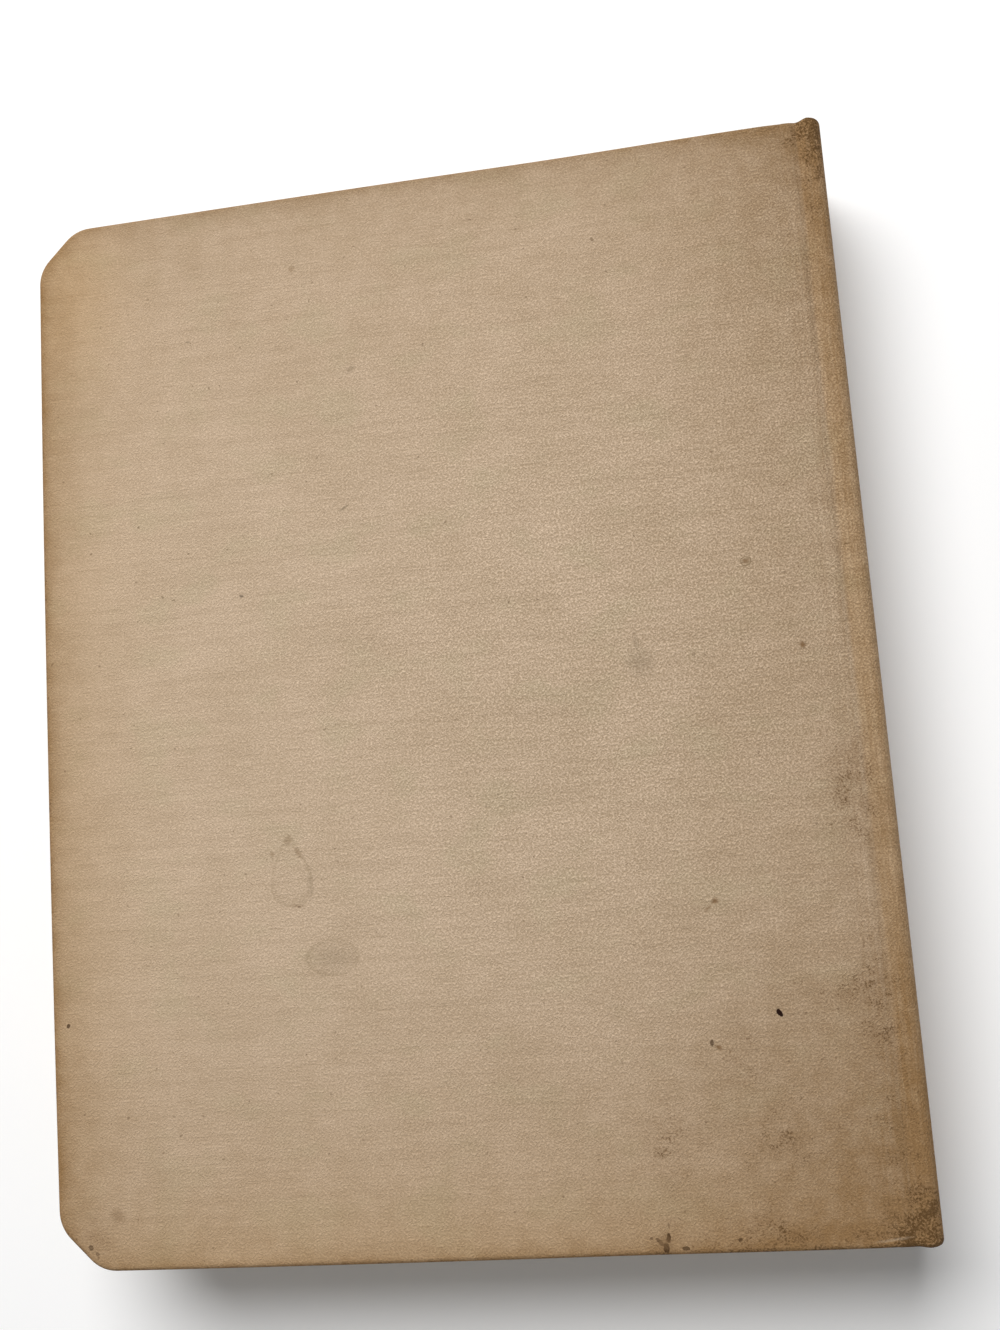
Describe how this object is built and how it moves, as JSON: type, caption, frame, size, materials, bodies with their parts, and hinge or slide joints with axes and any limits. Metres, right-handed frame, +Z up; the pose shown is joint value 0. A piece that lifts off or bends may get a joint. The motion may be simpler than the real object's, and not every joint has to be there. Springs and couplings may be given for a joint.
{
  "type": "cookbook",
  "caption": "Worn cloth-covered hardback cookbook lying flat, with cut fore-edge corners, a narrow spine joint and covers that swing open.",
  "frame": {"origin": "under the middle of the shut book, on the surface that it lies on", "axes": "+X from the fore edge to the spine, +Y from the tail to the head, +Z up, out of the back cover"},
  "size_m": [0.178, 0.2304, 0.034],
  "materials": {
    "cover_cloth": "worn tan book cloth with a fine grain",
    "page_paper": "aged uncoated pages",
    "endpaper": "aged plain endpaper",
    "grey_board": "pressed grey pulp board",
    "mull": "open-weave starched cotton",
    "lining_paper": "brown lining paper",
    "strip_card": "spine card",
    "band_thread": "faded woven band"
  },
  "bodies": {
    "text_block": {"text_block": "page_paper", "back_flyleaf": "endpaper", "front_flyleaf": "endpaper", "spine_mull": "mull", "spine_lining": "lining_paper", "spine_strip": "strip_card", "spine_cloth": "cover_cloth", "head_band": "band_thread", "tail_band": "band_thread"},
    "back_cover": {"back_board": "grey_board", "back_cloth": "cover_cloth", "back_pastedown": "endpaper", "back_mull_flap": "mull"},
    "front_cover": {"front_board": "grey_board", "front_cloth": "cover_cloth", "front_pastedown": "endpaper", "front_mull_flap": "mull"}
  },
  "joints": [
    {"name": "back_cover_hinge", "type": "hinge", "parent": "text_block", "child": "back_cover", "pos_m": [0.0865, 0, 0.0308], "axis": [0, 1, 0], "range_deg": [0, 178]},
    {"name": "front_cover_hinge", "type": "hinge", "parent": "text_block", "child": "front_cover", "pos_m": [0.0865, 0, 0.0032], "axis": [0, -1, 0], "range_deg": [0, 178]}
  ]
}
